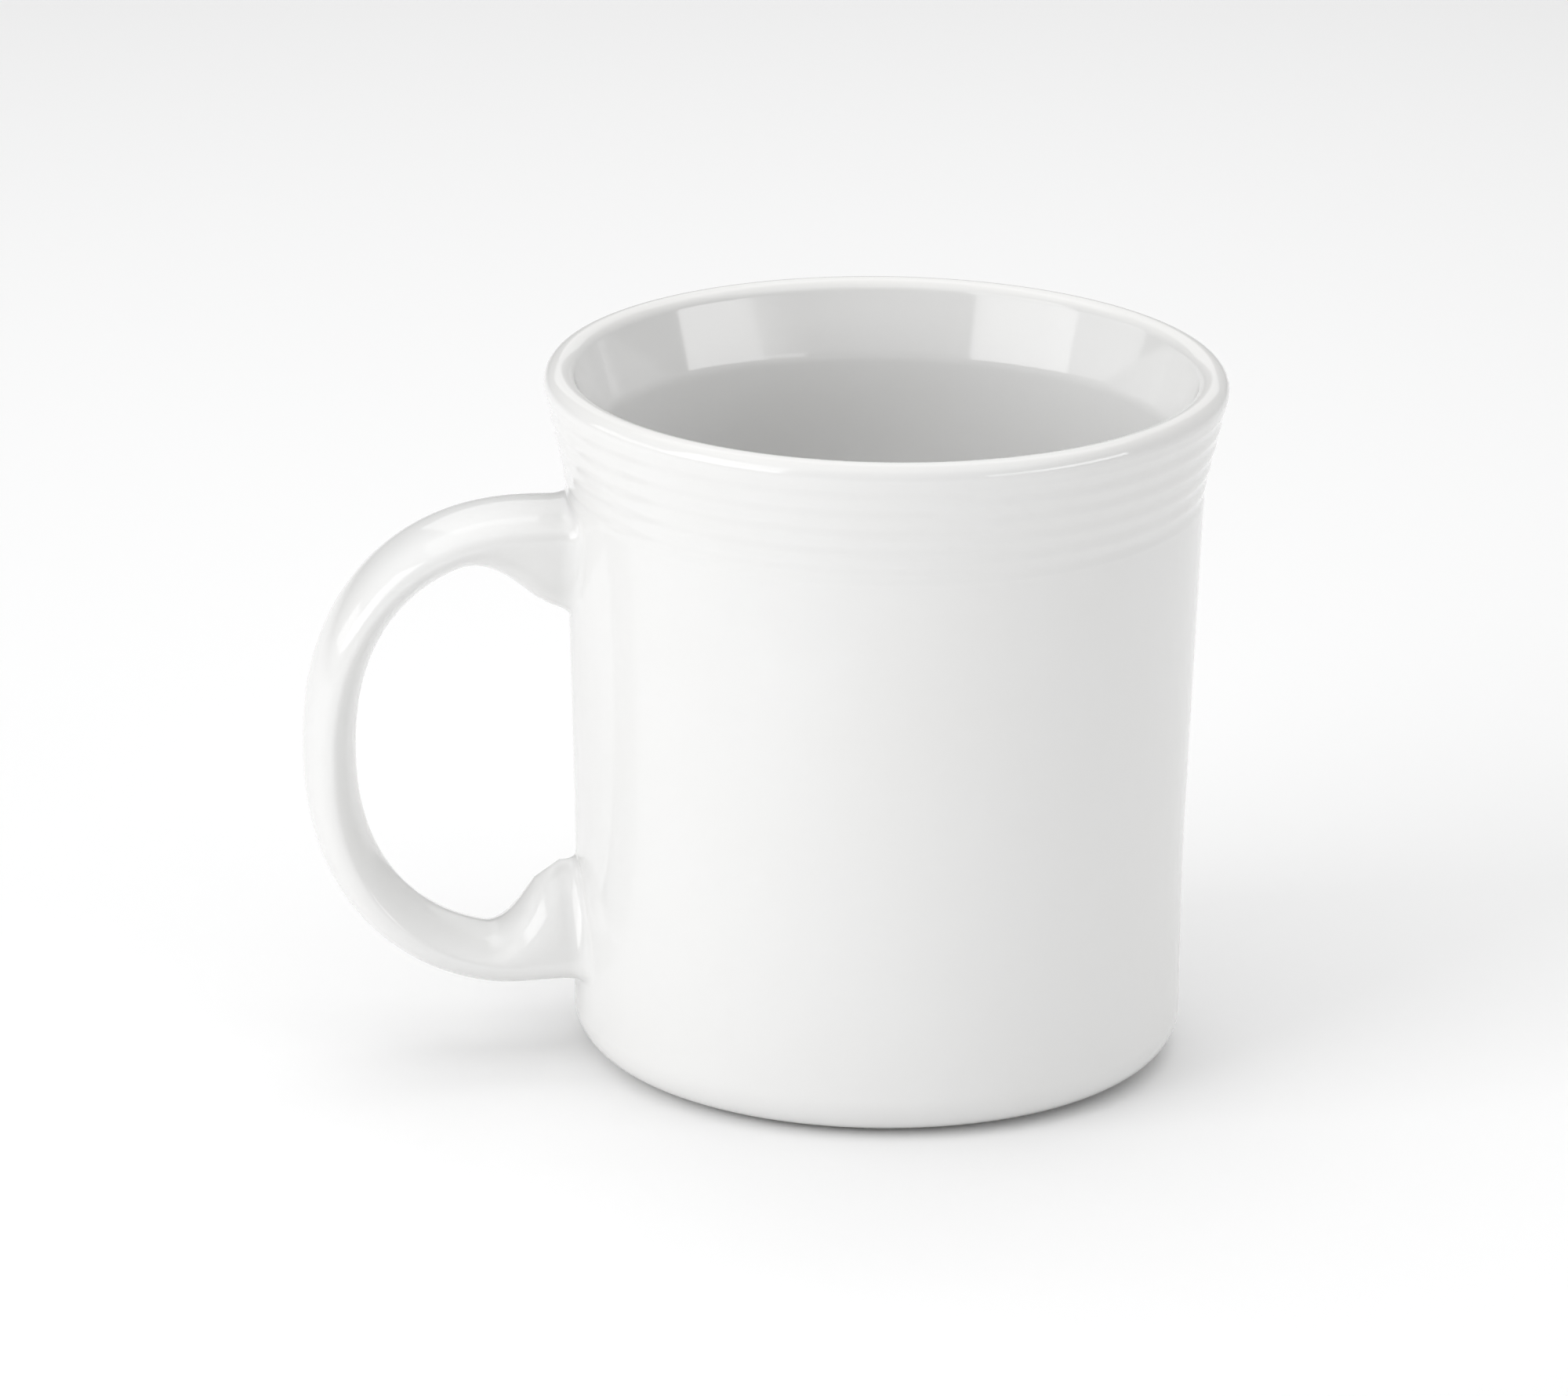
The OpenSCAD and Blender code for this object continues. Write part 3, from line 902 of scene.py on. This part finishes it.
class MUG_OT_stage(Operator):
    """Sets the floor, the softboxes, the sky and the camera"""

    bl_idname = "mug.stage"
    bl_label = "Stage"

    def execute(self, context):
        scene = context.scene
        stage = scene.mug_stage
        scene.view_settings.view_transform = "Standard"
        self.lay_floor(scene)
        self.paint_sky(scene)
        # Name, direction round the cup from the camera (left is +), width, low edge and top edge,
        # all in degrees, and brightness
        for box in (("key_softbox", 55.5, 43, 8, 22, stage.key),
                    ("key_top_softbox", 55.5, 43, 22, 45, stage.key_top),
                    ("side_softbox", 94.5, 35, 8, 22, stage.side_box),
                    ("fill_softbox", -68, 36, 7, 20, stage.fill),
                    ("wash_softbox", -41.5, 17, 7, 20, stage.wash)):
            self.hang_softbox(scene, *box)
        # Name, direction, distance from the axis, height, size, brightness and whether the glaze
        # mirrors it
        for lamp in (("near_lamp", 30, 0.45, 0.17, 0.30, stage.near, False),
                     ("close_lamp", 30, 0.20, 0.06, 0.12, stage.close, False),
                     ("top_lamp", 0, 0, 0.60, 0.80, stage.top, True),
                     ("back_lamp", 180, 0.50, 0.55, 0.70, stage.back, True)):
            self.hang_lamp(scene, *lamp)
        self.set_camera(scene)
        return {"FINISHED"}

    @staticmethod
    def lay_floor(scene):
        """A square floor round the cup, which isn't part of it."""
        mesh = bpy.data.meshes.new("floor")
        corners = [(x * FLOOR_HALF, y * FLOOR_HALF, 0)
                   for x, y in ((-1, -1), (1, -1), (1, 1), (-1, 1))]
        mesh.from_pydata(corners, [], [(0, 1, 2, 3)])
        mesh.materials.append(floor_finish(scene))
        floor = bpy.data.objects.new("floor", mesh)
        scene.collection.objects.link(floor)

    @staticmethod
    def paint_sky(scene):
        """A sky that glows softly from two directions round the cup."""
        stage = scene.mug_stage
        world = bpy.data.worlds.new("studio")
        world.use_nodes = True
        scene.world = world
        tree = world.node_tree
        place = Wire(tree, tree.nodes.new("ShaderNodeTexCoord").outputs["Generated"])
        x, y = place.part(0), place.part(1)

        def glow(bearing, brightness):
            way = stage.side - math.radians(bearing)
            facing = x * math.cos(way) + y * math.sin(way)
            facing = facing.math("MAXIMUM", facing, 0)
            return facing * facing * brightness

        glows = (glow(LEFT_GLOW_SIDE, stage.left_glow)
                 + glow(BACK_GLOW_SIDE, stage.back_glow))
        rise = place.part(2).fade(*SKY_FADE)
        light = (1 - rise) * glows + rise * stage.overhead
        tree.links.new(light.socket, tree.nodes["Background"].inputs["Strength"])
        tree.nodes["Background"].inputs["Color"].default_value = (1, 1, 1, 1)

    def hang_softbox(self, scene, name, bearing, width, low, high, brightness):
        """A light that fills a stretch of directions seen from the cup, in degrees."""
        distance = SOFTBOX_DISTANCE
        low, high = distance * math.tan(math.radians(low)), distance * math.tan(math.radians(high))
        box = self.hang(scene, name, bearing, distance, scene.mug_stage.target + (low + high) / 2,
                        2 * distance * math.tan(math.radians(width / 2)), high - low, brightness)
        box.rotation_euler = Euler((math.pi / 2, 0, math.atan2(box.location.x, -box.location.y)))

    def hang_lamp(self, scene, name, bearing, distance, height, size, brightness, mirrored):
        """A square light that faces the middle of the cup."""
        lamp = self.hang(scene, name, bearing, distance, height, size, size, brightness)
        away = lamp.location - Vector((0, 0, scene.mug_stage.target))
        lamp.rotation_euler = away.to_track_quat("Z", "Y").to_euler()
        lamp.visible_glossy = mirrored

    @staticmethod
    def hang(scene, name, bearing, distance, height, width, tall, brightness):
        """A soft light at a place round the cup, whose face has a brightness."""
        way = scene.mug_stage.side - math.radians(bearing)
        light = bpy.data.lights.new(name, "AREA")
        light.shape = "RECTANGLE"
        light.size, light.size_y = width, tall
        # The power that gives a face of that size that brightness
        light.energy = brightness * math.pi * width * tall
        hung = bpy.data.objects.new(name, light)
        hung.location = (distance * math.cos(way), distance * math.sin(way), height)
        hung.visible_camera = False
        scene.collection.objects.link(hung)
        return hung

    @staticmethod
    def set_camera(scene):
        """A camera that looks down at the cup from the handle's side."""
        stage = scene.mug_stage
        away = Vector((math.cos(stage.rise) * math.cos(stage.side),
                       math.cos(stage.rise) * math.sin(stage.side), math.sin(stage.rise)))
        look = (-away).to_track_quat("-Z", "Y").to_matrix()
        aim = Euler((-stage.tilt, -stage.pan, 0)).to_matrix()
        data = bpy.data.cameras.new("camera")
        data.lens = stage.lens
        camera = bpy.data.objects.new("camera", data)
        turn = look @ Matrix.Rotation(stage.roll, 3, "Z") @ aim.inverted()
        camera.matrix_world = (Matrix.Translation(Vector((0, 0, stage.target)) +
                                                  away * stage.distance) @ turn.to_4x4())
        scene.collection.objects.link(camera)
        scene.camera = camera


class MUG_PT_panel(Panel):
    """Lists the steps that make the mug, and its settings"""

    bl_idname = "MUG_PT_panel"
    bl_label = "Ceramic mug"
    bl_space_type = "VIEW_3D"
    bl_region_type = "UI"
    bl_category = "Mug"

    def draw(self, context):
        for step in STEPS:
            self.layout.operator(step.bl_idname, text=step.bl_label)
        for name, group in GROUPS.items():
            box = self.layout.box()
            for setting in group.__annotations__:
                box.prop(getattr(context.scene, name), setting)


GROUPS = {
    "mug_cup": CupSettings,
    "mug_foot": FootSettings,
    "mug_grooves": GrooveSettings,
    "mug_handle": HandleSettings,
    "mug_root": RootSettings,
    "mug_finish": FinishSettings,
    "mug_stage": StageSettings,
}
STEPS = (MUG_OT_outer_coat, MUG_OT_liner_coat, MUG_OT_foot_coat, MUG_OT_handle_coat,
         MUG_OT_bare_clay, MUG_OT_stage)


def register():
    for group in GROUPS.values():
        bpy.utils.register_class(group)
    for step in (*STEPS, MUG_PT_panel):
        bpy.utils.register_class(step)
    for name, group in GROUPS.items():
        setattr(bpy.types.Scene, name, PointerProperty(type=group))


def unregister():
    for name in GROUPS:
        delattr(bpy.types.Scene, name)
    for made in (MUG_PT_panel, *STEPS, *GROUPS.values()):
        bpy.utils.unregister_class(made)


def main():
    register()
    for step in STEPS:
        getattr(bpy.ops.mug, step.bl_idname.split(".")[1])()


if __name__ == "__main__":
    main()
